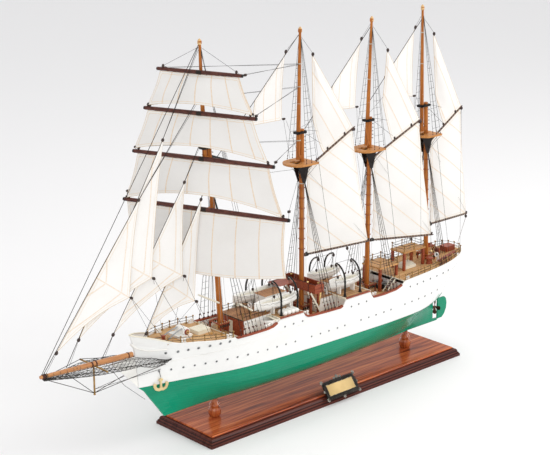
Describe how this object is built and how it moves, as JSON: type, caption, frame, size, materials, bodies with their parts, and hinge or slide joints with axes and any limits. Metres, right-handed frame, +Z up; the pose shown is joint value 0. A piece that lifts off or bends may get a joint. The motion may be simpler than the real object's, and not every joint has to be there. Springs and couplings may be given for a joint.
{
  "type": "display model of a topsail schooner on a wooden plinth",
  "caption": "Wooden display model of a tall schooner under full sail, on a moulded plinth with turned pedestals and a blank nameplate.",
  "frame": {"origin": "centre of the plinth's underside, on the table", "axes": "+X towards the stern, so the bow points to -X; +Y to starboard; +Z up"},
  "size_m": [0.9404, 0.2731, 0.6426],
  "materials": {
    "black_metal": "tarred cord",
    "brass": "aged",
    "canvas": "plain weave",
    "dark_spar": "dark varnish",
    "ebony": "gloss lacquer",
    "green": "gloss green paint",
    "mahogany": "satin varnish",
    "net": "knotted net",
    "pewter": "dark antique",
    "plank": "satin planks",
    "rosewood": "gloss lacquer",
    "varnish": "gloss varnish",
    "white": "gloss white paint"
  },
  "bodies": {
    "ship": {"base_moulding": "ebony", "base_panel": "rosewood", "pedestal_bow": "rosewood", "pedestal_stern": "rosewood", "nameplate": "pewter", "hull_bottom": "green", "hull_topsides": "white", "bow_knee": "white", "forecastle_deck": "plank", "main_deck": "plank", "poop_deck": "plank", "boat_deck_fore": "plank", "boat_deck_aft": "plank", "lifeboat_port_fore": "white", "lifeboat_starboard_fore": "white", "lifeboat_port_aft": "white", "lifeboat_starboard_aft": "white", "navigation_bridge": "mahogany", "platform_mizzen": "plank", "platform_jigger": "plank", "mast_fore": "varnish", "mast_main": "varnish", "mast_mizzen": "varnish", "mast_jigger": "varnish", "top_main": "plank", "top_mizzen": "plank", "top_jigger": "plank", "bowsprit": "varnish", "bowsprit_net": "net", "fore_stay": "black_metal", "flying_jib": "canvas", "outer_jib": "canvas", "inner_jib": "canvas", "fore_staysail": "canvas", "staysail_main": "canvas", "staysail_mizzen": "canvas", "staysail_jigger": "canvas"},
    "fore_yards": {"yard_1": "dark_spar", "yard_2": "dark_spar", "yard_3": "dark_spar", "yard_4": "dark_spar", "square_sail_1": "canvas", "square_sail_2": "canvas", "square_sail_3": "canvas", "square_sail_4": "canvas"},
    "main_rig": {"boom_main": "dark_spar", "gaff_main": "dark_spar", "gaff_sail_main": "canvas", "topsail_main": "canvas"},
    "mizzen_rig": {"boom_mizzen": "dark_spar", "gaff_mizzen": "dark_spar", "gaff_sail_mizzen": "canvas", "topsail_mizzen": "canvas"},
    "jigger_rig": {"boom_jigger": "dark_spar", "gaff_jigger": "dark_spar", "gaff_sail_jigger": "canvas", "topsail_jigger": "canvas"},
    "rudder_blade": {"rudder": "green"},
    "screw": {"propeller": "brass"}
  },
  "joints": [
    {"name": "fore_yards_brace", "type": "hinge", "parent": "ship", "child": "fore_yards", "pos_m": [-0.247, 0, 0.45], "axis": [-0.0397, 0, 0.9992], "range_deg": [-30, 13]},
    {"name": "main_rig_swing", "type": "hinge", "parent": "ship", "child": "main_rig", "pos_m": [-0.0378, 0, 0.32], "axis": [0.0047, 0, -1], "range_deg": [-5, 12]},
    {"name": "mizzen_rig_swing", "type": "hinge", "parent": "ship", "child": "mizzen_rig", "pos_m": [0.12252, 0, 0.32], "axis": [-0.0019, 0, -1], "range_deg": [-5, 12]},
    {"name": "jigger_rig_swing", "type": "hinge", "parent": "ship", "child": "jigger_rig", "pos_m": [0.27185, 0, 0.32], "axis": [0.0426, 0, -0.9991], "range_deg": [-24, 12]},
    {"name": "rudder_turn", "type": "hinge", "parent": "ship", "child": "rudder_blade", "pos_m": [0.3145, 0, 0.074], "axis": [0, 0, 1], "range_deg": [-35, 35]},
    {"name": "propeller_spin", "type": "hinge", "parent": "ship", "child": "screw", "pos_m": [0.3068, 0, 0.0748], "axis": [1, 0, 0], "continuous": true}
  ]
}
